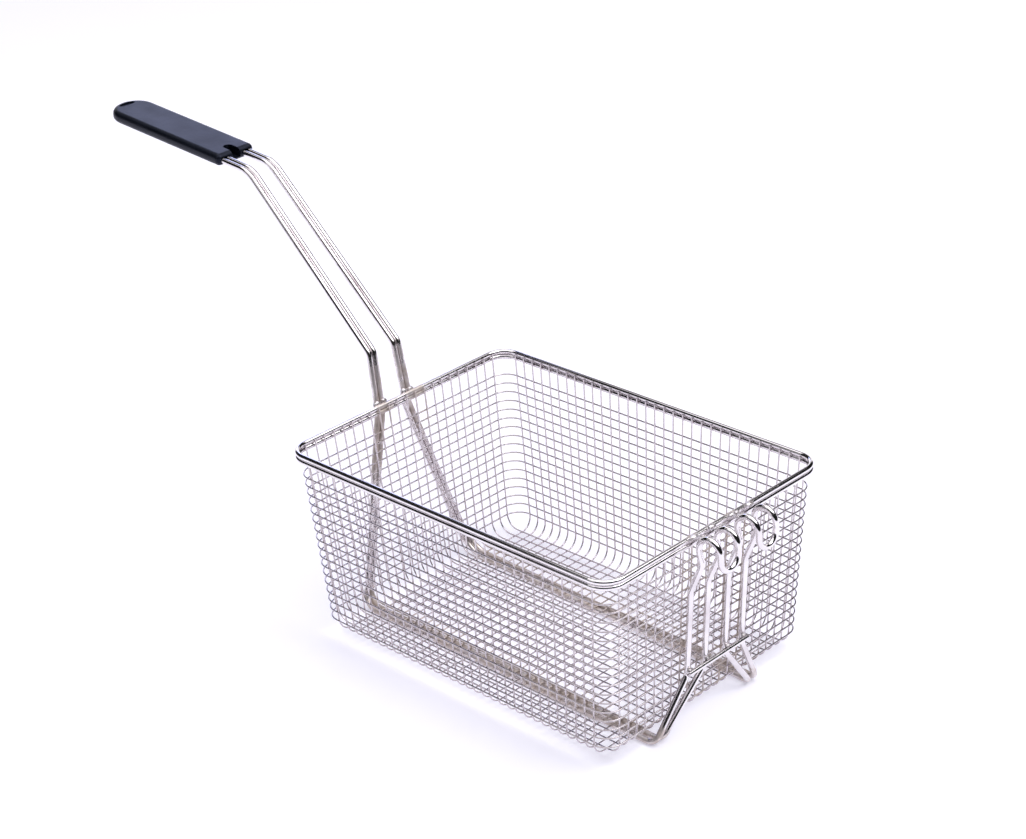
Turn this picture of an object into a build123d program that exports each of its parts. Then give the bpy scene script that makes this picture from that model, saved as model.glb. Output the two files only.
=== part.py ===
from build123d import *
import math
import os

# Deep fryer basket, in millimetres.
# A pressed wire mesh tub hangs inside two stacked rim rods.  Two long wires,
# one on each side, carry it: each starts in the grip, comes down the handle,
# passes the rim, splays to the floor, runs under the basket, rises up the front
# and is bent double there, so that its loop is the hanging hook.
# X runs along the basket with the handle toward -X and the hooks toward +X.
# The floor wires stand on Z = 0, and the origin is under the middle of the whole.

# Rim and mesh
rim_length = 277.2            # end to end, on the centre line of the rim rods
rim_width = 197.2
rim_height = 135.0            # centre line of the upper rim rod
rim_wire = 3.6
rim_corner_radius = 14.0
mesh_wire = 1.1               # thickness of the upright layer and of the hoops
end_wall_lean = 0.081         # how far the end walls lean in per mm of depth
side_wall_lean = 0.04
hoop_count = 17
first_hoop_drop = 16.2        # from the upper rim rod to the first hoop
last_hoop_height = 14.2
floor_bend_radius = 10.0
fit_gap = 0.1                 # between pieces that the welds hold together

# Openings that stand for the mesh cells
cells_along = 8               # openings side by side in a side wall
cells_across = 5              # and in an end wall
cell_rows = 3
cell_band = 4.0               # what is left between two openings
mouth_band = 5.0              # left whole under the rim
corner_margin = 1.0           # left flat beside each rounded corner

# Frame wires
frame_wire = 4.0
pair_gap = 0.3                # between the two runs of one doubled wire
front_outer_y = 24.6          # the four rods that rise up the front
front_inner_y = 8.2
front_foot_y = 46.0           # middle of each pair where it turns under the floor
front_foot_spacing = 6.0
rear_foot_y = 50.5
rear_foot_bend_radius = 10.0
front_foot_bend_radius = 6.0
front_spread_height = 37.0    # the front rods draw apart up to here
front_bend_radius = 8.0
joggle_start_drop = 38.0      # below the upper rim rod, where the front rods leave the mesh
joggle_end_drop = 16.0

# Hooks
hook_rise = 2.2               # centre line of the curl above the upper rim rod
hook_bend_radius = 9.3
hook_tip_drop = 17.0
hook_flat = 0.4               # straight bit between two bends

# Crossbar on the front rods
crossbar_length = 56.0
crossbar_height = 40.5

# Handle
handle_rim_y = 10.7           # middle of each pair at the rim
handle_mouth_y = 9.4          # middle of each pair in the grip
rim_contact_margin = 3.0      # the legs stay straight this far beyond the rim rods
leg_bend_reach = 11.3         # from the rim centre line out to the lower bend
leg_bend_rise = 34.2          # above the upper rim rod
leg_bend_radius = 8.0
rim_bend_radius = 10.0        # slight bends above and below the rim rods
handle_bend_reach = 123.6
handle_bend_rise = 139.1
handle_bend_radius = 15.0

# Grip
grip_reach = 272.2            # from the rim centre line out to the end of the grip
grip_end_rise = 150.5
grip_length = 126.5
grip_width = 32.0
grip_thickness = 8.4
grip_edge_radius = 3.6
grip_end_wall = 11.0          # solid vinyl beyond the wire ends
notch_width = 7.0             # hollow between the two sleeves at the mouth
notch_depth = 12.0
notch_web = 2.2               # thickness of the web left under the hollow
dimple_reach = 6.5            # from the end of the grip to the middle of the dimple
dimple_length = 5.0
dimple_width = 13.0
dimple_depth = 1.0

rim_half_length = rim_length / 2
rim_half_width = rim_width / 2
frame_radius = frame_wire / 2
rim_radius = rim_wire / 2
lower_rim_height = rim_height - rim_wire - fit_gap / 2
joggle_start_height = rim_height - joggle_start_drop
joggle_end_height = rim_height - joggle_end_drop
hook_height = rim_height + hook_rise
hook_tip_height = rim_height - hook_tip_drop
leg_bend_height = rim_height + leg_bend_rise
handle_bend_height = rim_height + handle_bend_rise
grip_end_height = rim_height + grip_end_rise
pair_offset = (frame_wire + pair_gap) / 2

floor_underside = frame_wire + fit_gap
floor_layer = floor_underside + mesh_wire
floor_top = floor_layer + mesh_wire

# The curl of each hook rests against the lower rim rod.
hook_centre_height = hook_height - hook_bend_radius
hook_touch = hook_bend_radius + frame_radius + rim_radius + fit_gap
hook_drop = lower_rim_height - hook_centre_height
hook_centre_reach = math.sqrt(hook_touch**2 - hook_drop**2)
front_rod_reach = hook_centre_reach - hook_bend_radius
hook_tip_reach = front_rod_reach + 2 * hook_bend_radius + hook_flat

# The origin is half way between the end of the grip and the tips of the hooks.
rear_extent = rim_half_length + grip_reach
front_extent = rim_half_length + hook_tip_reach + frame_radius
basket_x = (rear_extent - front_extent) / 2


def mesh_half_length(height):
    """Outer face of the upright wires of the end walls at a height."""
    drop = rim_height - height
    return rim_half_length - rim_radius - fit_gap - end_wall_lean * drop


def mesh_half_width(height):
    """Outer face of the upright wires of the side walls at a height."""
    drop = rim_height - height
    return rim_half_width - rim_radius - fit_gap - side_wall_lean * drop


def rod_beside_end_wall(height):
    """Centre line of a frame rod that lies against the hoops of an end wall."""
    return mesh_half_length(height) + mesh_wire + fit_gap + frame_radius


mesh_corner_radius = rim_corner_radius - rim_radius - fit_gap
first_hoop_height = rim_height - first_hoop_drop
hoop_pitch = (first_hoop_height - last_hoop_height) / (hoop_count - 1)
hoop_heights = [first_hoop_height - hoop_pitch * i for i in range(hoop_count)]


# Wire mesh tub: the upright layer is the wall, the hoops are ridges round it.
with BuildPart() as tub_hollow:
    with BuildSketch(Plane.XY.offset(floor_top)) as hollow_floor:
        RectangleRounded(
            2 * (mesh_half_length(floor_top) - mesh_wire),
            2 * (mesh_half_width(floor_top) - mesh_wire),
            mesh_corner_radius - mesh_wire,
        )
    with BuildSketch(Plane.XY.offset(rim_height + rim_wire)) as hollow_mouth:
        RectangleRounded(
            2 * (mesh_half_length(rim_height + rim_wire) - mesh_wire),
            2 * (mesh_half_width(rim_height + rim_wire) - mesh_wire),
            mesh_corner_radius - mesh_wire,
        )
    loft(ruled=True)
    fillet(tub_hollow.faces().sort_by(Axis.Z)[0].edges(), radius=floor_bend_radius - mesh_wire)

with BuildPart() as mesh_tub:
    with BuildSketch(Plane.XY.offset(floor_layer)) as tub_floor:
        RectangleRounded(
            2 * mesh_half_length(floor_layer), 2 * mesh_half_width(floor_layer), mesh_corner_radius
        )
    with BuildSketch(Plane.XY.offset(rim_height)) as tub_mouth:
        RectangleRounded(
            2 * mesh_half_length(rim_height), 2 * mesh_half_width(rim_height), mesh_corner_radius
        )
    loft(ruled=True)
    fillet(mesh_tub.faces().sort_by(Axis.Z)[0].edges(), radius=floor_bend_radius)

    # Hoops
    for hoop_height in hoop_heights:
        with BuildSketch(Plane.XY.offset(hoop_height - mesh_wire / 2)):
            RectangleRounded(
                2 * (mesh_half_length(hoop_height) + mesh_wire),
                2 * (mesh_half_width(hoop_height) + mesh_wire),
                mesh_corner_radius + mesh_wire,
            )
        extrude(amount=mesh_wire)

    # Cross wires under the floor, on the bands between the openings
    floor_flat_length = 2 * (mesh_half_length(floor_layer) - floor_bend_radius)
    floor_flat_width = 2 * (mesh_half_width(floor_layer) - floor_bend_radius)
    floor_pitch_along = (floor_flat_length + cell_band) / cells_along
    floor_pitch_across = (floor_flat_width + cell_band) / cells_across
    with BuildSketch(Plane.XY.offset(floor_underside)):
        with GridLocations(floor_pitch_along, 0, cells_along - 1, 1):
            Rectangle(mesh_wire, floor_flat_width)
    extrude(amount=mesh_wire * 1.5)

    add(tub_hollow.part, mode=Mode.SUBTRACT)

    # Openings in the side walls, the end walls and the floor
    whole_hoops = [(hoop_count - 1) - row * (hoop_count // cell_rows + 1) for row in range(cell_rows)]
    row_top = rim_height - mouth_band
    for whole_hoop in reversed(whole_hoops):
        row_bottom = hoop_heights[whole_hoop] + hoop_pitch / 2
        row_height = (row_top + row_bottom) / 2
        cell_height = row_top - row_bottom
        row_top = hoop_heights[whole_hoop] - hoop_pitch / 2
        corner_width = mesh_corner_radius + corner_margin
        pitch_along = (2 * (mesh_half_length(row_bottom) - corner_width) + cell_band) / cells_along
        pitch_across = (2 * (mesh_half_width(row_bottom) - corner_width) + cell_band) / cells_across
        with BuildSketch(Plane.XZ):
            with Locations((0, row_height)):
                with GridLocations(pitch_along, 0, cells_along, 1):
                    Rectangle(pitch_along - cell_band, cell_height)
        extrude(amount=rim_width, both=True, mode=Mode.SUBTRACT)
        with BuildSketch(Plane.YZ):
            with Locations((0, row_height)):
                with GridLocations(pitch_across, 0, cells_across, 1):
                    Rectangle(pitch_across - cell_band, cell_height)
        extrude(amount=rim_length, both=True, mode=Mode.SUBTRACT)
    with BuildSketch(Plane.XY.offset(floor_underside - mesh_wire)):
        with GridLocations(floor_pitch_along, floor_pitch_across, cells_along, cells_across):
            Rectangle(floor_pitch_along - cell_band, floor_pitch_across - cell_band)
    extrude(amount=4 * mesh_wire, mode=Mode.SUBTRACT)

with BuildPart() as wire_mesh_basket:
    with Locations((basket_x, 0, 0)):
        add(mesh_tub.part)


# Rim rods: two rounded rectangles, one on top of the other
def rim_rod_at(height):
    """One rim rod with its centre line at a height."""
    with BuildPart() as rod:
        with BuildLine(Plane((basket_x, 0, height))) as loop:
            FilletPolyline(
                (rim_half_length, -rim_half_width),
                (rim_half_length, rim_half_width),
                (-rim_half_length, rim_half_width),
                (-rim_half_length, -rim_half_width),
                radius=rim_corner_radius,
                close=True,
            )
        start = loop.wires()[0]
        with BuildSketch(Plane(start @ 0, z_dir=start % 0)):
            Circle(rim_radius)
        sweep(path=start)
    return rod


upper_rim_rod = rim_rod_at(rim_height)
lower_rim_rod = rim_rod_at(lower_rim_height)


# Frame wires
grip_end_x = basket_x - rear_extent
grip_rise = grip_end_height - handle_bend_height
grip_run = grip_reach - handle_bend_reach
grip_slope = grip_rise / grip_run
wire_end_reach = grip_reach - grip_end_wall
wire_end_height = grip_end_height - grip_end_wall * grip_slope


def half_route(outward, front_y, side):
    """Corner points of one run, from the wire end in the grip to the hook."""
    lane = outward * pair_offset
    foot_lane = outward * front_foot_spacing / 2
    mouth_y = side * (handle_mouth_y + lane)
    rim_y = side * (handle_rim_y + lane)
    rear_y = side * (rear_foot_y + lane)
    foot_y = side * (front_foot_y + foot_lane)
    rod_y = side * front_y
    rim_contact = rim_half_length + rim_radius + frame_radius + fit_gap
    leg_top = rim_height + rim_contact_margin
    leg_bottom = lower_rim_height - rim_radius - rim_contact_margin
    foot_x = rod_beside_end_wall(frame_radius)
    front_x = rim_half_length + front_rod_reach
    tip_x = rim_half_length + hook_tip_reach
    return [
        (basket_x - rim_half_length - wire_end_reach, mouth_y, wire_end_height),
        (basket_x - rim_half_length - handle_bend_reach, mouth_y, handle_bend_height),
        (basket_x - rim_half_length - leg_bend_reach, rim_y, leg_bend_height),
        (basket_x - rim_contact, rim_y, leg_top),
        (basket_x - rim_contact, rim_y, leg_bottom),
        (basket_x - foot_x, rear_y, frame_radius),
        (basket_x + foot_x, foot_y, frame_radius),
        (basket_x + rod_beside_end_wall(front_spread_height), rod_y, front_spread_height),
        (basket_x + rod_beside_end_wall(joggle_start_height), rod_y, joggle_start_height),
        (basket_x + front_x, rod_y, joggle_end_height),
        (basket_x + front_x, rod_y, hook_height),
        (basket_x + tip_x, rod_y, hook_height),
        (basket_x + tip_x, rod_y, hook_tip_height),
    ]


tip_bend_radius = (front_outer_y - front_inner_y - hook_flat) / 2
half_radii = [
    handle_bend_radius,
    leg_bend_radius,
    rim_bend_radius,
    rim_bend_radius,
    rear_foot_bend_radius,
    front_foot_bend_radius,
    front_bend_radius,
    front_bend_radius,
    front_bend_radius,
    hook_bend_radius,
    hook_bend_radius,
    tip_bend_radius,
]


def frame_wire_on(side):
    """The doubled wire on one side: out along one run and back along the other."""
    outer_run = half_route(1, front_outer_y, side)
    inner_run = half_route(-1, front_inner_y, side)
    corners = outer_run + inner_run[::-1]
    radii = half_radii + half_radii[::-1]
    with BuildPart() as wire:
        with BuildLine() as route:
            FilletPolyline(corners, radius=radii)
        path = route.wires()[0]
        with BuildSketch(Plane(path @ 0, z_dir=path % 0)):
            Circle(frame_radius)
        sweep(path=path)
    print("wire", round(path.length, 1), round(wire.part.volume / path.length / frame_radius**2, 4))
    return wire


left_frame_wire = frame_wire_on(-1)
right_frame_wire = frame_wire_on(1)


# Crossbar welded across the four front rods
crossbar_wire = rim_wire
crossbar_lean = math.sqrt(1 + end_wall_lean**2)
crossbar_step = (frame_radius + crossbar_wire / 2 + fit_gap) * crossbar_lean
with BuildPart() as front_crossbar:
    bar_x = basket_x + rod_beside_end_wall(crossbar_height) + crossbar_step
    with BuildSketch(Plane((bar_x, 0, crossbar_height), z_dir=(0, 1, 0))):
        Circle(crossbar_wire / 2)
    extrude(amount=crossbar_length / 2, both=True)


# Vinyl grip moulded over the four wire ends
grip_angle = math.degrees(math.atan(grip_slope))
grip_plane = Plane(
    origin=(grip_end_x, 0, grip_end_height),
    x_dir=(math.cos(math.atan(grip_slope)), 0, -math.sin(math.atan(grip_slope))),
    z_dir=(math.sin(math.atan(grip_slope)), 0, math.cos(math.atan(grip_slope))),
)
with BuildPart() as handle_grip:
    with BuildSketch(grip_plane) as grip_outline:
        with BuildLine():
            Polyline(
                (grip_width / 2, -grip_width / 2),
                (grip_length, -grip_width / 2),
                (grip_length, grip_width / 2),
                (grip_width / 2, grip_width / 2),
            )
            ThreePointArc((grip_width / 2, grip_width / 2), (0, 0), (grip_width / 2, -grip_width / 2))
        make_face()
        fillet(grip_outline.vertices().group_by(Axis.X)[-1], radius=grip_edge_radius)
    extrude(amount=grip_thickness / 2, both=True)
    rim_faces = handle_grip.faces().filter_by(Plane(grip_plane.origin, z_dir=grip_plane.z_dir))
    fillet(rim_faces.edges(), radius=grip_edge_radius)

    # Hollow between the two sleeves, rounded at its inner end, over a thin web
    with BuildSketch(grip_plane.offset(notch_web - grip_thickness / 2)):
        with Locations((grip_length, 0)):
            Rectangle(2 * (notch_depth - notch_width / 2), notch_width)
        with Locations((grip_length - notch_depth + notch_width / 2, 0)):
            Circle(notch_width / 2)
    extrude(amount=grip_thickness, mode=Mode.SUBTRACT)

    # Shallow oval dimple on top, near the end
    with BuildSketch(grip_plane.offset(grip_thickness / 2 - dimple_depth)):
        with Locations((dimple_reach, 0)):
            Ellipse(dimple_length / 2, dimple_width / 2)
    extrude(amount=grip_thickness, mode=Mode.SUBTRACT)

    # Channels for the wire ends
    channel_width = 2 * (pair_offset + frame_radius + fit_gap)
    channel_height = 2 * (frame_radius + fit_gap)
    wire_start = grip_end_wall - fit_gap
    channel_plane = Plane(
        origin=grip_plane.from_local_coords((wire_start, 0, 0)),
        x_dir=(0, 1, 0),
        z_dir=grip_plane.x_dir,
    )
    with BuildSketch(channel_plane):
        with Locations((-handle_mouth_y, 0), (handle_mouth_y, 0)):
            SlotOverall(channel_width, channel_height)
    extrude(amount=grip_length, mode=Mode.SUBTRACT)


os.makedirs("parts", exist_ok=True)
wire_mesh_basket.part.label = "wire_mesh_basket"
export_step(wire_mesh_basket.part, "parts/wire_mesh_basket.step")
upper_rim_rod.part.label = "upper_rim_rod"
export_step(upper_rim_rod.part, "parts/upper_rim_rod.step")
lower_rim_rod.part.label = "lower_rim_rod"
export_step(lower_rim_rod.part, "parts/lower_rim_rod.step")
left_frame_wire.part.label = "left_frame_wire"
export_step(left_frame_wire.part, "parts/left_frame_wire.step")
right_frame_wire.part.label = "right_frame_wire"
export_step(right_frame_wire.part, "parts/right_frame_wire.step")
front_crossbar.part.label = "front_crossbar"
export_step(front_crossbar.part, "parts/front_crossbar.step")
handle_grip.part.label = "handle_grip"
export_step(handle_grip.part, "parts/handle_grip.step")
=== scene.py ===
import math
import random

import bpy
from mathutils import Matrix, Vector


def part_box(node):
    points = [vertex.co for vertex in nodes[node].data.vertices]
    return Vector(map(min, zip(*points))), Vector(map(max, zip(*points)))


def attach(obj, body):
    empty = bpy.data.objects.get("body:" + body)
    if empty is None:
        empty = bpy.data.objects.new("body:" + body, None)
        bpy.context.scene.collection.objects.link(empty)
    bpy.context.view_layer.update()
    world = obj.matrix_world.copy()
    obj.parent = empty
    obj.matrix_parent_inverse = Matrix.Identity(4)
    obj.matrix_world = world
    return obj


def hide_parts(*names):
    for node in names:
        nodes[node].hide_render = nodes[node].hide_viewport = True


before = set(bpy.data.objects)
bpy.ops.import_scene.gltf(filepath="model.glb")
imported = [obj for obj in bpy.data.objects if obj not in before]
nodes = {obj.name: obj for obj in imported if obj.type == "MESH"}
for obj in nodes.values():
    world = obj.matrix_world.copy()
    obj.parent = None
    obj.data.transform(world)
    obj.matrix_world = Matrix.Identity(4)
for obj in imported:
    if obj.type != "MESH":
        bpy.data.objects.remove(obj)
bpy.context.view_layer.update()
print("frame loaded")

mm = 0.001


# Small tools

shaping = {
    "sameSpot": 0.02,         # points nearer than this are merged, mm
    "shortestRun": 0.001,     # a straight run shorter than this is left out, mm
    "fewestSteps": 2,         # faces round even the slightest bend
    "sharpAngle": 50.0,       # edges that turn more than this stay sharp, degrees
}


def hexColour(code):
    # sRGB hex to linear RGBA
    values = [int(code[i:i + 2], 16) / 255 for i in (1, 3, 5)]
    linear = [v / 12.92 if v <= 0.04045 else ((v + 0.055) / 1.055) ** 2.4 for v in values]
    return (*linear, 1.0)


def addNode(tree, kind, *inOrder, **settings):
    # adds a shader node and gives its outputs; a setting is a property of the node or an input,
    # and an input takes a value or another node's output
    node = tree.nodes.new("ShaderNode" + kind)
    inputs = dict(enumerate(inOrder))
    for name, value in settings.items():
        if hasattr(node, name):
            setattr(node, name, value)
        else:
            inputs[name.replace("_", " ")] = value
    for place, value in inputs.items():
        if isinstance(value, bpy.types.NodeSocket):
            tree.links.new(value, node.inputs[place])
        else:
            node.inputs[place].default_value = value
    return node.outputs


def deselectAll():
    if bpy.context.object and bpy.context.object.mode == "EDIT":
        bpy.ops.object.mode_set(mode="OBJECT")
    bpy.ops.object.select_all(action="DESELECT")


def planBends(corners, bends, closed):
    # where each straight run ends and each bend turns, from corner points and bend radii
    count = len(corners)
    plan = []
    for index in range(count):
        if not closed and index in (0, count - 1):
            continue
        before = corners[index - 1]
        here = corners[index]
        after = corners[(index + 1) % count]
        into = (here - before).normalized()
        out = (after - here).normalized()
        turn = into.angle(out)
        radius = bends[index % len(bends)] if closed else bends[index - 1]
        reach = radius * math.tan(turn / 2)
        axis = into.cross(out).normalized()
        inward = axis.cross(into).normalized()
        start = here - into * reach
        plan.append({"start": start, "centre": start + inward * radius, "axis": axis,
                     "turn": turn, "end": here + out * reach})
    return plan


def bentWire(name, corners, bends, thickness, sides=8, closed=False, bendStep=16.0):
    # one wire: a ring is drawn at its start, pushed along each run and spun round each bend
    corners = [Vector(c) * mm for c in corners]
    bends = [b * mm for b in bends]
    plan = planBends(corners, bends, closed)
    if closed:
        start = plan[-1]["end"]
        direction = (plan[0]["start"] - start).normalized()
    else:
        start = corners[0]
        direction = (corners[1] - corners[0]).normalized()
    deselectAll()
    bpy.ops.mesh.primitive_circle_add(
        vertices=sides, radius=thickness / 2 * mm, fill_type="NOTHING", location=start,
        rotation=direction.to_track_quat("Z", "X").to_euler())
    wire = bpy.context.object
    wire.name = name
    wire.data.name = name
    bpy.ops.object.transform_apply(location=True, rotation=True, scale=True)
    bpy.ops.object.mode_set(mode="EDIT")
    bpy.ops.mesh.select_all(action="SELECT")
    if not closed:
        bpy.ops.mesh.edge_face_add()
        bpy.ops.mesh.duplicate()
    here = start
    for bend in plan:
        run = bend["start"] - here
        if run.length > shaping["shortestRun"] * mm:
            bpy.ops.mesh.extrude_region_move(TRANSFORM_OT_translate={"value": run})
        steps = max(shaping["fewestSteps"], round(math.degrees(bend["turn"]) / bendStep))
        bpy.ops.mesh.spin(steps=steps, angle=-bend["turn"], center=bend["centre"],
                          axis=bend["axis"])
        here = bend["end"]
    if not closed:
        lastRun = corners[-1] - here
        bpy.ops.mesh.extrude_region_move(TRANSFORM_OT_translate={"value": lastRun})
    bpy.ops.mesh.select_all(action="SELECT")
    bpy.ops.mesh.remove_doubles(threshold=shaping["sameSpot"] * mm)
    bpy.ops.mesh.normals_make_consistent(inside=False)
    bpy.ops.object.mode_set(mode="OBJECT")
    return wire


def copyPiece(piece, name):
    twin = piece.copy()
    twin.data = piece.data.copy()
    twin.name = name
    twin.data.name = name
    bpy.context.collection.objects.link(twin)
    return twin


def joinPieces(pieces, name):
    deselectAll()
    for piece in pieces:
        piece.select_set(True)
    bpy.context.view_layer.objects.active = pieces[0]
    bpy.ops.object.join()
    joined = bpy.context.object
    joined.name = name
    joined.data.name = name
    return joined


def dressPiece(piece, material):
    piece.data.materials.clear()
    piece.data.materials.append(material)


def finishWire(wire, material):
    # moves wires drawn round the middle of the basket to their place, plated and smooth
    wire.data.transform(Matrix.Translation((basketX, 0, 0)))
    dressPiece(wire, material)
    deselectAll()
    wire.select_set(True)
    bpy.context.view_layer.objects.active = wire
    bpy.ops.object.shade_smooth_by_angle(angle=math.radians(shaping["sharpAngle"]))


# Materials

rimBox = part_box("upper_rim_rod")
basketX = (rimBox[0].x + rimBox[1].x) / 2      # middle of the basket, which places count from
endLean = 0.081           # how far the end walls lean in for each unit of depth
rimHeight = 135.0         # centre line of the upper rim rod, mm

nickelPlate = {
    "finishes": {             # colour, roughness, and how much brown and dark spotting it shows: heat tint on the floor pairs, painted shade on the legs and front rods
        "nickelPlatedMeshWire": ("#d2cbce", 0.06, 0.7, 0.25),
        "nickelPlatedFrameWire": ("#efebed", 0.08, 0.75, 0.15),
    },
    "dull": "#d2cacd",        # where the plating is thin or handled
    "brown": "#cbbdb2",       # straw brown: heat tint beside the floor pair welds, painted shade along the legs and behind the front rods
    "burnt": "#665850",       # darkest spots: burnt plate on the floor pairs, painted shade on the legs and front rods
    "cloud": 45.0,            # clouds of dull plate per metre, about 22 mm each
    "blotch": 75.0,           # brown blotches per metre, about 13 mm each
    "spot": 210.0,            # burnt spots per metre, about 5 mm each
    "drawLines": 900.0,       # bands per metre, about a millimetre each: real draw marks are
                              # far finer and would not show
    "dullFrom": (0.45, 0.75), # how much cloud begins and completes the dull plate
    "dullMost": 0.7,
    "roughFrom": (0.35, 0.8),
    "roughMore": 0.06,        # added to the roughness where the plate is dull
    "brownRough": 0.6,        # and where it is brown
    "blotchFrom": (0.30, 4.0),    # where the blotches begin, and how hard their edges are
    "spotFrom": (0.50, 9.0),
    "grain": (0.02, 0.2),     # strength and height in mm of the drawn bands
}

heatTintAndShade = {                  # where the plate is brown, mm: heat tint beside the floor pair welds, painted shade along the legs and behind the front rods
    "floorPairY": (-52.4, 42.8),        # middles of the doubled wires under the floor
    "floorPairReach": 12.0,
    "floorPairHeight": 16.0,
    "floorPairGain": 4.0,
    # painted shade beside and behind the four front rods
    "rodY": (-24.6, -8.3, 10.8, 26.8),  # the four front rods
    "rodReach": 6.5,
    "rodOut": 137.2,          # from the middle of the basket, where the mesh backs the rods
    "rodDepth": 2.6,
    "rodGain": 3.0,
    # painted shade along the legs down the end wall
    "legY": 13.4,             # middles of the doubled legs at the rim
    "legSpread": 0.31,        # how fast they draw apart below it
    "legReach": 10.0,
    "legOut": -139.5,
    "legDepth": 9.0,
    "legGain": 3.0,
    # painted shade on the upper legs, at half strength
    "aboveRim": 2.5,          # the upper legs begin this far above the rim rod
    "lowerBend": 30.0,        # and fade out past the handle's lower bend
    "bendFade": 8.0,
    "upperLegX": -140.0,
    "upperLegShare": 0.5,
}

weldBeadLook = {
    "pit": 620.0,             # pits per metre, about 1.6 mm each, coarser than real for the same
                              # reason as the draw marks
    "deep": (0.36, "#8d7f7c"),    # grey in the pits
    "high": (0.56, "#f0ecf0"),    # lighter above the pits
    "pitFrom": (0.3, 0.7),
    "roughness": (0.5, 0.28), # in the pits and above them
    "relief": (0.6, 0.8),     # strength and depth in mm
}

vinylLook = {
    "fresh": "#04060c",
    "rubbed": "#0e121c",
    "sheenTint": "#c4cdf2",   # its shine is cold and bluish
    "refraction": 1.53,       # plasticised PVC
    "specular": 0.32,
    "peel": 260.0,            # orange peel bumps per metre, about 4 mm each, drawn coarser than
                              # real so that they show
    "wear": 38.0,             # rubbed patches per metre, about 26 mm each
    "wearFrom": (0.3, 0.7),
    "roughness": (0.34, 0.44),
    "relief": (0.10, 0.5),    # strength and depth of the peel in mm
}


def newMaterial(name):
    material = bpy.data.materials.new(name)
    material.use_nodes = True
    material.node_tree.nodes.clear()
    return material, material.node_tree


def near(tree, value, width):
    # 1 where a distance is nothing, falling to 0 at the width
    share = addNode(tree, "Math", value, width, operation="DIVIDE")[0]
    return addNode(tree, "Math", 1.0, share, operation="SUBTRACT", use_clamp=True)[0]


def nearest(tree, value, places):
    # distance to the nearest of several places
    gaps = []
    for place in places:
        gap = addNode(tree, "Math", value, place, operation="SUBTRACT")[0]
        gaps.append(addNode(tree, "Math", gap, operation="ABSOLUTE")[0])
    least = gaps[0]
    for gap in gaps[1:]:
        least = addNode(tree, "Math", least, gap, operation="MINIMUM")[0]
    return least


def plusShare(tree, value, other, share):
    # a value with a share of another added to it
    part = addNode(tree, "Math", other, share, operation="MULTIPLY")[0]
    return addNode(tree, "Math", value, part, operation="ADD")[0]


def overlap(tree, first, second, gain):
    # where two masks meet, hardened or softened by the gain
    both = addNode(tree, "Math", first, second, operation="MULTIPLY")[0]
    return addNode(tree, "Math", both, gain, operation="MULTIPLY", use_clamp=True)[0]


def patches(tree, place, scale, begin, detail, roughness=0.5):
    # blotches of noise, from where they begin and how hard their edges are
    noise = addNode(tree, "TexNoise", Vector=place, Scale=scale, Detail=detail,
                    Roughness=roughness)["Fac"]
    level, hardness = begin
    above = addNode(tree, "Math", noise, level, operation="SUBTRACT")[0]
    return addNode(tree, "Math", above, hardness, operation="MULTIPLY", use_clamp=True)[0]


def heatTintAndShadeMask(tree, place):
    # how brown the plate is, 0 to 1: heat tint on the floor pairs, painted shade on the legs and
    # behind the front rods
    tintAndShade = heatTintAndShade
    x, y, z = addNode(tree, "SeparateXYZ", Vector=place)
    side = addNode(tree, "Math", y, operation="ABSOLUTE")[0]
    drop = addNode(tree, "Math", rimHeight * mm, z, operation="SUBTRACT")[0]
    fromMiddle = addNode(tree, "Math", x, basketX, operation="SUBTRACT")[0]
    outward = plusShare(tree, fromMiddle, drop, endLean)     # across the leaning end walls

    # heat tint beside the floor pair welds
    fromPairs = nearest(tree, y, [lane * mm for lane in tintAndShade["floorPairY"]])
    floorPairs = overlap(tree, near(tree, fromPairs, tintAndShade["floorPairReach"] * mm),
                         near(tree, z, tintAndShade["floorPairHeight"] * mm), tintAndShade["floorPairGain"])

    # painted shade beside and behind the front rods
    fromRods = nearest(tree, y, [lane * mm for lane in tintAndShade["rodY"]])
    behindRods = nearest(tree, outward, [tintAndShade["rodOut"] * mm])
    rods = overlap(tree, near(tree, fromRods, tintAndShade["rodReach"] * mm),
                   near(tree, behindRods, tintAndShade["rodDepth"] * mm), tintAndShade["rodGain"])

    # painted shade along the legs
    legLine = plusShare(tree, tintAndShade["legY"] * mm, drop, tintAndShade["legSpread"])
    legGap = addNode(tree, "Math", side, legLine, operation="SUBTRACT")[0]
    fromLegs = addNode(tree, "Math", legGap, operation="ABSOLUTE")[0]
    alongLegs = nearest(tree, outward, [tintAndShade["legOut"] * mm])
    legs = overlap(tree, near(tree, fromLegs, tintAndShade["legReach"] * mm),
                   near(tree, alongLegs, tintAndShade["legDepth"] * mm), tintAndShade["legGain"])

    # painted shade on the upper legs, from above the rim to the handle's lower bend
    legsBegin = (rimHeight + tintAndShade["aboveRim"]) * mm
    aboveRim = addNode(tree, "Math", z, legsBegin, operation="GREATER_THAN")[0]
    atHandle = addNode(tree, "Math", fromMiddle, tintAndShade["upperLegX"] * mm,
                       operation="LESS_THAN")[0]
    bendHeight = (rimHeight + tintAndShade["lowerBend"]) * mm
    pastBend = addNode(tree, "Math", z, bendHeight, operation="SUBTRACT")[0]
    upperLegs = overlap(tree, aboveRim, atHandle, 1.0)
    upperLegs = overlap(tree, upperLegs, near(tree, pastBend, tintAndShade["bendFade"] * mm),
                        tintAndShade["upperLegShare"])

    brown = floorPairs
    for part in (rods, legs, upperLegs):
        brown = addNode(tree, "Math", brown, part, operation="MAXIMUM", use_clamp=True)[0]
    return brown


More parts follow.
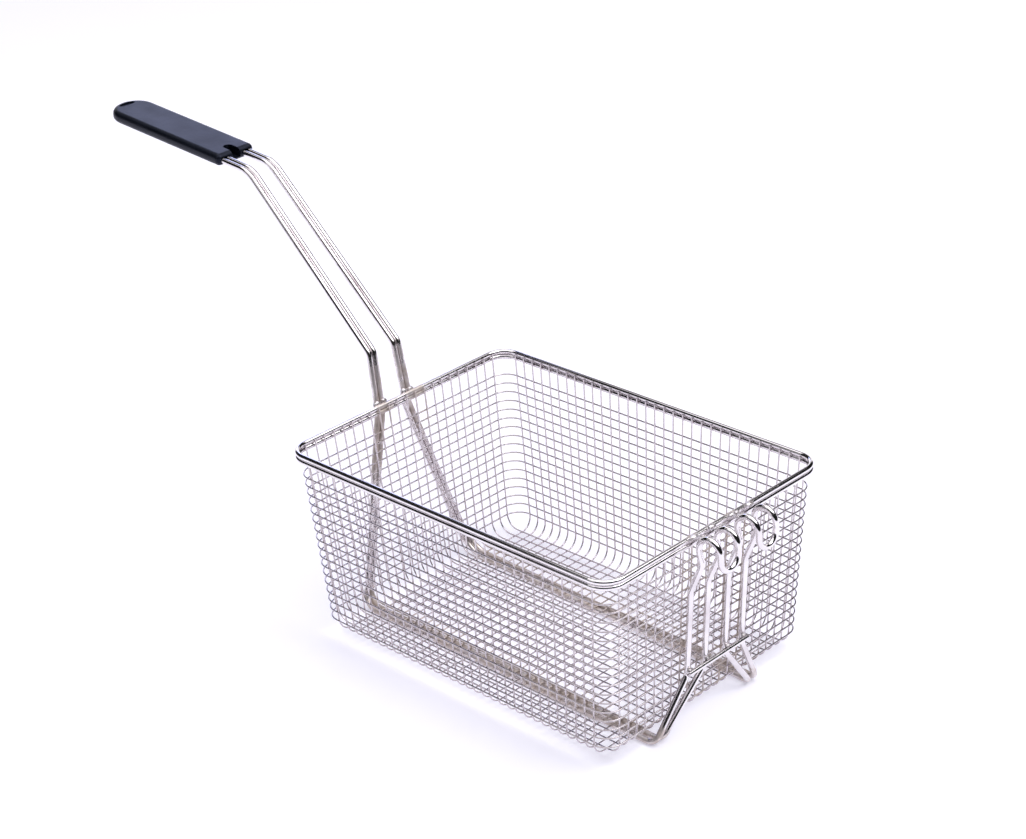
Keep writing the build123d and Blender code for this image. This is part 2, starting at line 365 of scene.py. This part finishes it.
def platedWire(name):
    # bright nickel plate on drawn steel wire: a clean mirror with a faint grain, brown heat tint
    # beside the floor pair welds, and brown and dark painted shade along the legs and front rods
    look = nickelPlate
    bright, roughness, brownShare, burntAndShadeShare = look["finishes"][name]
    material, tree = newMaterial(name)
    place = addNode(tree, "TexCoord")["Object"]
    cloud = addNode(tree, "TexNoise", Vector=place, Scale=look["cloud"], Detail=4.0,
                    Roughness=0.55)["Fac"]
    dullness = addNode(tree, "MapRange", Value=cloud, From_Min=look["dullFrom"][0],
                       From_Max=look["dullFrom"][1], To_Min=0.0, To_Max=look["dullMost"])[0]
    colour = addNode(tree, "Mix", data_type="RGBA", Factor=dullness, A=hexColour(bright),
                     B=hexColour(look["dull"]))["Result"]

    # the brown mask: heat tint on the floor pairs, painted shade along the legs and front rods
    tintAndShade = heatTintAndShadeMask(tree, place)
    blotches = patches(tree, place, look["blotch"], look["blotchFrom"], detail=3.0,
                       roughness=0.6)
    brown = overlap(tree, tintAndShade, blotches, brownShare)
    colour = addNode(tree, "Mix", data_type="RGBA", Factor=brown, A=colour,
                     B=hexColour(look["brown"]))["Result"]
    # dark spots in the same mask: burnt plate on the floor pairs, painted shade on the legs and
    # front rods
    spots = patches(tree, place, look["spot"], look["spotFrom"], detail=2.0)
    burnt = overlap(tree, tintAndShade, spots, burntAndShadeShare)
    colour = addNode(tree, "Mix", data_type="RGBA", Factor=burnt, A=colour,
                     B=hexColour(look["burnt"]))["Result"]

    grain = addNode(tree, "TexNoise", Vector=place, Scale=look["drawLines"], Detail=2.0)["Fac"]
    rough = addNode(tree, "MapRange", Value=cloud, From_Min=look["roughFrom"][0],
                    From_Max=look["roughFrom"][1], To_Min=roughness,
                    To_Max=roughness + look["roughMore"])[0]
    rough = plusShare(tree, rough, brown, look["brownRough"])
    bump = addNode(tree, "Bump", Height=grain, Strength=look["grain"][0],
                   Distance=look["grain"][1] * mm)[0]
    shader = addNode(tree, "BsdfPrincipled", Metallic=1.0, Base_Color=colour, Roughness=rough,
                     Normal=bump)[0]
    addNode(tree, "OutputMaterial", Surface=shader)
    return material


def weldSteel(name):
    # bare weld metal, plated over: rough, pale and pitted
    look = weldBeadLook
    material, tree = newMaterial(name)
    place = addNode(tree, "TexCoord")["Object"]
    pits = addNode(tree, "TexNoise", Vector=place, Scale=look["pit"], Detail=4.0,
                   Roughness=0.7)["Fac"]
    tone = addNode(tree, "ValToRGB", Fac=pits)["Color"]
    for stop, (position, colour) in zip(tone.node.color_ramp.elements,
                                        (look["deep"], look["high"])):
        stop.position = position
        stop.color = hexColour(colour)
    bump = addNode(tree, "Bump", Height=pits, Strength=look["relief"][0],
                   Distance=look["relief"][1] * mm)[0]
    rough = addNode(tree, "MapRange", Value=pits, From_Min=look["pitFrom"][0],
                    From_Max=look["pitFrom"][1], To_Min=look["roughness"][0],
                    To_Max=look["roughness"][1])[0]
    shader = addNode(tree, "BsdfPrincipled", Metallic=1.0, Base_Color=tone, Roughness=rough,
                     Normal=bump)[0]
    addNode(tree, "OutputMaterial", Surface=shader)
    return material


def dippedVinyl(name):
    # black PVC dipped over the wires: near black, satin, with a faint orange peel and rubbed
    # patches
    look = vinylLook
    material, tree = newMaterial(name)
    place = addNode(tree, "TexCoord")["Object"]
    peel = addNode(tree, "TexNoise", Vector=place, Scale=look["peel"], Detail=2.0)["Fac"]
    wear = addNode(tree, "TexNoise", Vector=place, Scale=look["wear"], Detail=5.0)["Fac"]
    shade = addNode(tree, "Mix", data_type="RGBA", Factor=wear, A=hexColour(look["fresh"]),
                    B=hexColour(look["rubbed"]))["Result"]
    rough = addNode(tree, "MapRange", Value=wear, From_Min=look["wearFrom"][0],
                    From_Max=look["wearFrom"][1], To_Min=look["roughness"][0],
                    To_Max=look["roughness"][1])[0]
    bump = addNode(tree, "Bump", Height=peel, Strength=look["relief"][0],
                   Distance=look["relief"][1] * mm)[0]
    shader = addNode(tree, "BsdfPrincipled", IOR=look["refraction"],
                     Specular_IOR_Level=look["specular"],
                     Specular_Tint=hexColour(look["sheenTint"]), Base_Color=shade,
                     Roughness=rough, Normal=bump)[0]
    addNode(tree, "OutputMaterial", Surface=shader)
    return material


meshPlate = platedWire("nickelPlatedMeshWire")
rodPlate = platedWire("nickelPlatedFrameWire")
weldPlate = weldSteel("platedWeldBead")
vinyl = dippedVinyl("blackDippedVinyl")
print("materials ready")


# Wire mesh basket

meshBasket = {                # mm
    "halfLength": 136.15,     # centre line of the end wall uprights at the rim
    "halfWidth": 96.15,
    "top": rimHeight,
    "endLean": endLean,
    "sideLean": 0.04,
    "wire": 1.1,
    "crossFloor": 4.65,       # the crosswise wires lie under the lengthwise ones
    "longFloor": 5.75,
    "floorBend": 9.5,
    "crossCount": 32,
    "crossPitch": 8.0,
    "crossMiddle": 0.5,
    "longCount": 22,
    "longPitch": 8.2,
    "longMiddle": 0.0,
    "crossFan": 0.916,        # spacing at the floor against spacing at the rim
    "longFan": 0.94,
    "hoopTop": 118.8,
    "hoopLow": 14.2,
    "hoopCount": 17,
    "hoopCorner": 12.2,
    "wander": 0.3,            # how far a wire may stray from its place
    "hoopWander": 0.2,
}
chance = random.Random(7)


def meshHalfLength(height):
    return meshBasket["halfLength"] - meshBasket["endLean"] * (meshBasket["top"] - height)


def meshHalfWidth(height):
    return meshBasket["halfWidth"] - meshBasket["sideLean"] * (meshBasket["top"] - height)


def fanWires(model, count, pitch, middle, fan, floor, axis):
    # copies one bent wire across the basket, each copy leaning with the walls beside it
    wires = []
    wander = meshBasket["wander"]
    for index in range(count):
        atTop = (index - (count - 1) / 2) * pitch + middle
        atFloor = atTop * fan + chance.uniform(-wander, wander)
        atTop += chance.uniform(-wander, wander)
        wire = copyPiece(model, model.name + str(index))
        for vertex in wire.data.vertices:
            height = vertex.co.z / mm
            share = (height - floor) / (meshBasket["top"] - floor)
            vertex.co[axis] += (atFloor + (atTop - atFloor) * share) * mm
        wires.append(wire)
    bpy.data.objects.remove(model)
    return wires


def wireHoops(model, modelLength, modelWidth):
    # copies one hoop down the walls, each copy drawn in as the walls lean
    hoops = []
    pitch = (meshBasket["hoopTop"] - meshBasket["hoopLow"]) / (meshBasket["hoopCount"] - 1)
    wander = meshBasket["hoopWander"]
    for index in range(meshBasket["hoopCount"]):
        height = meshBasket["hoopTop"] - pitch * index
        hoop = copyPiece(model, "hoop" + str(index))
        inLength = meshHalfLength(height) + meshBasket["wire"] - modelLength
        inWidth = meshHalfWidth(height) + meshBasket["wire"] - modelWidth
        height += chance.uniform(-wander, wander)
        for vertex in hoop.data.vertices:
            vertex.co.x += math.copysign(1, vertex.co.x) * inLength * mm
            vertex.co.y += math.copysign(1, vertex.co.y) * inWidth * mm
            vertex.co.z += height * mm
        hoops.append(hoop)
    bpy.data.objects.remove(model)
    return hoops


def buildMesh():
    top = meshBasket["top"]
    wire = meshBasket["wire"]
    bends = [meshBasket["floorBend"]] * 2
    low = meshBasket["crossFloor"]
    crossModel = bentWire(
        "crossWire",
        [(0, -meshHalfWidth(top), top), (0, -meshHalfWidth(low), low),
         (0, meshHalfWidth(low), low), (0, meshHalfWidth(top), top)],
        bends, wire)
    low = meshBasket["longFloor"]
    longModel = bentWire(
        "longWire",
        [(-meshHalfLength(top), 0, top), (-meshHalfLength(low), 0, low),
         (meshHalfLength(low), 0, low), (meshHalfLength(top), 0, top)],
        bends, wire)
    length = meshHalfLength(meshBasket["hoopTop"]) + wire
    width = meshHalfWidth(meshBasket["hoopTop"]) + wire
    hoopModel = bentWire(
        "hoop",
        [(length, -width, 0), (length, width, 0), (-length, width, 0), (-length, -width, 0)],
        [meshBasket["hoopCorner"]], wire, closed=True)

    wires = []
    for model, kind, axis in ((crossModel, "cross", 0), (longModel, "long", 1)):
        wires += fanWires(model, meshBasket[kind + "Count"], meshBasket[kind + "Pitch"],
                          meshBasket[kind + "Middle"], meshBasket[kind + "Fan"],
                          meshBasket[kind + "Floor"], axis)
    wires += wireHoops(hoopModel, length, width)
    return joinPieces(wires, "wireMesh")


wireMesh = buildMesh()
finishWire(wireMesh, meshPlate)
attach(wireMesh, "root")
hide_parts("wire_mesh_basket")
print("wire mesh", len(wireMesh.data.polygons), "faces")


# Frame wires

frameWires = {                # mm
    "thickness": 4.0,
    "sides": 16,
    "bendStep": 9.0,          # degrees between two rings round a bend
    "run": [                  # x from the middle of the basket, z and bend radius of each corner
        (-399.8, 284.7, 0.0), (-259.8, 273.5, 18.0),      # wire end in the grip, handle bend
        (-149.9, 169.2, 8.0), (-142.5, 138.0, 10.0),      # lower bend, above the rim
        (-142.5, 126.5, 10.0), (-129.1, 2.0, 10.0),       # below the rim, rear foot
        (131.4, 2.0, 6.0), (132.0, 37.0, 8.0),            # front foot, where the rods part
        (136.8, 98.0, 7.0), (146.6, 119.5, 6.5),          # the joggle of the front rods
        (141.2, 138.4, 9.4), (161.0, 138.4, 9.3),         # over the rim
        (161.0, 118.0, 7.8)],                             # tip of the hook
    "rearFoot": 5,            # which corner is the rear foot
    "rearBend": {"left": 11.0, "right": 19.0},            # its bend radius on each side
    "across": {               # y at the grip, lower bend, rim, rear foot, front foot and rods
        "leftOuter": (-11.55, -13.4, -17.4, -54.7, -55.2, -24.6),
        "leftInner": (-7.25, -9.1, -13.1, -50.4, -49.2, -8.3),
        "rightInner": (7.25, 8.6, 6.9, 42.9, 35.6, 10.8),
        "rightOuter": (11.55, 12.9, 11.2, 47.2, 41.6, 26.8),
    },
    "places": (0, 0, 1, 2, 2, 3, 4, 5, 5, 5, 5, 5, 5),    # which y belongs to each corner
}


def frameWire(side):
    # one doubled wire: out along the outer run, round the hook's tip, back along the inner one
    outer, inner = [
        [(x, frameWires["across"][side + lane][place], z)
         for (x, z, bend), place in zip(frameWires["run"], frameWires["places"])]
        for lane in ("Outer", "Inner")]
    bends = [bend for x, z, bend in frameWires["run"]]
    bends[frameWires["rearFoot"]] = frameWires["rearBend"][side]
    bends = bends[1:]         # the wire end has none
    wire = bentWire(side + "FrameWire", outer + inner[::-1], bends + bends[::-1],
                    frameWires["thickness"], sides=frameWires["sides"],
                    bendStep=frameWires["bendStep"])
    finishWire(wire, rodPlate)
    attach(wire, "root")
    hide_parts(side + "_frame_wire")
    print(wire.name, len(wire.data.polygons), "faces")


frameWire("left")
frameWire("right")


# Weld beads

weldBeads = {
    "size": 1.0,              # radius of the bead that the others are copied from, mm
    "rough": 0.16,            # how lumpy it is, mm
    "smooth": 0.4,
    "turnAxis": (0.3, 0.5, 0.8),    # each copy is turned round this, so no two look alike
    "places": [               # place from the middle of the basket, and half sizes, mm
        ((-140.9, -18.2, 136.4), (2.0, 3.1, 2.5)),        # legs to the rim
        ((-140.9, -12.4, 136.7), (2.0, 2.6, 2.2)),
        ((-140.9, 6.5, 136.6), (2.0, 2.7, 2.4)),
        ((-140.9, 11.8, 136.2), (2.1, 3.0, 2.2)),
        ((140.6, -24.6, 135.9), (2.0, 3.8, 1.9)),         # front rods to the rim
        ((140.6, -20.6, 135.2), (1.6, 2.4, 1.6)),
        ((140.6, -8.3, 135.9), (2.0, 3.2, 1.9)),
        ((140.6, 10.4, 135.9), (1.9, 3.2, 1.9)),
        ((140.6, 14.6, 135.4), (1.6, 2.8, 1.7)),
        ((140.6, 26.8, 135.9), (2.0, 3.6, 2.0)),
        ((134.7, -24.9, 40.6), (1.8, 2.6, 2.4)),          # crossbar to the front rods
        ((134.7, -8.4, 41.6), (1.4, 1.7, 1.5)),
        ((134.7, 10.9, 41.4), (1.4, 1.8, 1.5)),
        ((134.7, 26.4, 41.4), (1.6, 2.2, 1.9)),
    ],
}


def beadModel():
    # one lump, drawn as a ball and made uneven, which every bead is copied from
    deselectAll()
    bpy.ops.mesh.primitive_ico_sphere_add(subdivisions=3, radius=weldBeads["size"] * mm,
                                          location=(0, 0, 0))
    bead = bpy.context.object
    bead.name = "weldBead"
    bpy.ops.object.mode_set(mode="EDIT")
    bpy.ops.mesh.select_all(action="SELECT")
    bpy.ops.transform.vertex_random(offset=weldBeads["rough"] * mm, seed=5)
    bpy.ops.mesh.vertices_smooth(factor=weldBeads["smooth"], repeat=1)
    bpy.ops.object.mode_set(mode="OBJECT")
    return bead


def buildWelds():
    bead = beadModel()
    turnAxis = Vector(weldBeads["turnAxis"]).normalized()
    beads = []
    for index, (place, halfSizes) in enumerate(weldBeads["places"]):
        lump = copyPiece(bead, "weldBead" + str(index))
        lump.data.transform(Matrix.Rotation(chance.uniform(0, math.tau), 4, turnAxis))
        lump.data.transform(Matrix.Diagonal((*halfSizes, 1.0)))
        centre = (basketX + place[0] * mm, place[1] * mm, place[2] * mm)
        lump.data.transform(Matrix.Translation(centre))
        beads.append(lump)
    bpy.data.objects.remove(bead)
    joined = joinPieces(beads, "weldBeads")
    joined.data.polygons.foreach_set("use_smooth", [True] * len(joined.data.polygons))
    return joined


welds = buildWelds()
dressPiece(welds, weldPlate)
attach(welds, "root")
print("weld beads", len(welds.data.polygons), "faces")


# CAD pieces that stay

cadLooks = {
    "upper_rim_rod": rodPlate,
    "lower_rim_rod": rodPlate,
    "front_crossbar": rodPlate,
    "handle_grip": vinyl,
}
for name, look in cadLooks.items():
    for materialSlot in nodes[name].material_slots:
        materialSlot.material = look
print("CAD pieces dressed")


# Studio

studio = {
    "floorSize": 30.0,        # metres
    "floorDrop": 0.2,         # how far under the feet the floor lies, mm
    "floorPaint": "#e2e2e6",
    "floorTint": "#efedff",
    "floorGlow": 0.42,        # what lifts the paper to white in the picture and in the metal
    "roomTint": "#fdfbff",
    "walls": 0.015,           # the dark room
    "bank": 1.6,              # the bank of lights overhead
    "bankSlant": 0.6,         # how far it leans toward +X
    "bankEdge": (0.37, 0.46), # where its edge fades in across that slant
    "bankFoot": (0.70, 0.84), # sine of the elevation at which it begins
    "backdrop": 1.05,         # the white sweep behind the basket, away from the camera
    "backdropWay": (-0.717, 0.697),
    "backdropSide": (0.76, 0.86),
    "backdropTop": (0.43, 0.50),
    "softboxes": {            # place, aim and size in metres, power in watts, colour
        "keySoftbox": ((0.95, 0.55, 1.75), (0.1, 0, 0.1), (1.3, 1.3), 18, "#ffffff"),
        "fillSoftbox": ((-0.5, -1.5, 1.3), (0.1, 0, 0.1), (1.0, 0.8), 2, "#ffffff"),
        "gripSoftbox": ((-1.06, 0.75, 0.82), (-0.29, 0, 0.28), (0.45, 0.45), 1.3, "#b4c2ff"),
    },
}


def buildFloor():
    deselectAll()
    bpy.ops.mesh.primitive_grid_add(x_subdivisions=4, y_subdivisions=4,
                                    size=studio["floorSize"],
                                    location=(0, 0, -studio["floorDrop"] * mm))
    floor = bpy.context.object
    floor.name = "studioFloor"
    bpy.ops.object.transform_apply(location=True, rotation=True, scale=True)
    material, tree = newMaterial("paperSweep")
    paint = addNode(tree, "BsdfDiffuse", Color=hexColour(studio["floorPaint"]))[0]
    ray = addNode(tree, "LightPath")
    seen = ray["Is Camera Ray"]
    for kind in ("Is Glossy Ray", "Is Transmission Ray"):
        seen = addNode(tree, "Math", seen, ray[kind], operation="MAXIMUM")[0]
    strength = addNode(tree, "Math", seen, studio["floorGlow"], operation="MULTIPLY")[0]
    glow = addNode(tree, "Emission", Color=hexColour(studio["floorTint"]), Strength=strength)[0]
    paper = addNode(tree, "AddShader", paint, glow)[0]
    addNode(tree, "OutputMaterial", Surface=paper)
    floor.data.materials.append(material)


def buildWorld():
    # a broad bank of lights overhead in a dark room and a white sweep behind, which draw bright
    # and black lines along the wires
    world = bpy.data.worlds.new("studioRoom")
    bpy.context.scene.world = world
    world.use_nodes = True
    tree = world.node_tree
    tree.nodes.clear()
    way = addNode(tree, "TexCoord")["Generated"]
    x, y, z = addNode(tree, "SeparateXYZ", Vector=way)
    slanted = plusShare(tree, z, x, studio["bankSlant"])
    behind = addNode(tree, "Math", x, studio["backdropWay"][0], operation="MULTIPLY")[0]
    behind = plusShare(tree, behind, y, studio["backdropWay"][1])
    fades = []
    for value, ends, low, high in (
            (slanted, studio["bankEdge"], 0.0, 1.0), (z, studio["bankFoot"], 0.0, 1.0),
            (behind, studio["backdropSide"], 0.0, 1.0),
            (z, studio["backdropTop"], studio["backdrop"], 0.0)):
        fades.append(addNode(tree, "MapRange", interpolation_type="SMOOTHSTEP", Value=value,
                             From_Min=ends[0], From_Max=ends[1], To_Min=low, To_Max=high)[0])
    bankEdge, bankFoot, sweepSide, sweepTop = fades
    bank = addNode(tree, "Math", bankEdge, bankFoot, operation="MULTIPLY")[0]
    sweep = addNode(tree, "Math", sweepSide, sweepTop, operation="MULTIPLY")[0]
    light = plusShare(tree, sweep, bank, studio["bank"])
    light = addNode(tree, "Math", light, studio["walls"], operation="ADD")[0]
    room = addNode(tree, "Background", Color=hexColour(studio["roomTint"]), Strength=light)[0]
    addNode(tree, "OutputWorld", Surface=room)


def buildSoftboxes():
    for name, (place, aim, size, power, tint) in studio["softboxes"].items():
        deselectAll()
        bpy.ops.object.light_add(type="AREA", location=place)
        lamp = bpy.context.object
        lamp.name = name
        lamp.data.shape = "RECTANGLE"
        lamp.data.size, lamp.data.size_y = size
        lamp.data.energy = power
        lamp.data.color = hexColour(tint)[:3]
        facing = Vector(aim) - Vector(place)
        lamp.rotation_euler = facing.to_track_quat("-Z", "Y").to_euler()


buildFloor()
buildWorld()
buildSoftboxes()
print("studio built")


# Camera, matched to the photograph's viewing angle

shot = {
    "place": (953.4, -955.4, 832.0),      # from the middle of the basket, mm
    "aim": (-119.86, 86.31, 90.0),
    "roll": -3.72,                        # degrees
    "lens": 84.18,                        # mm, on a sensor of the width below
    "sensor": 36.0,
}


def buildCamera():
    data = bpy.data.cameras.new("photoCamera")
    camera = bpy.data.objects.new("photoCamera", data)
    bpy.context.collection.objects.link(camera)
    middle = Vector((basketX, 0, 0))
    place = middle + Vector(shot["place"]) * mm
    aim = middle + Vector(shot["aim"]) * mm
    roll = Matrix.Rotation(math.radians(shot["roll"]), 3, "Z")
    turn = (aim - place).to_track_quat("-Z", "Y").to_matrix() @ roll
    camera.matrix_world = Matrix.Translation(place) @ turn.to_4x4()
    data.sensor_width = shot["sensor"]
    data.sensor_fit = "HORIZONTAL"
    data.lens = shot["lens"]
    bpy.context.scene.camera = camera


buildCamera()
bpy.context.scene.view_settings.view_transform = "Standard"
print("camera set")
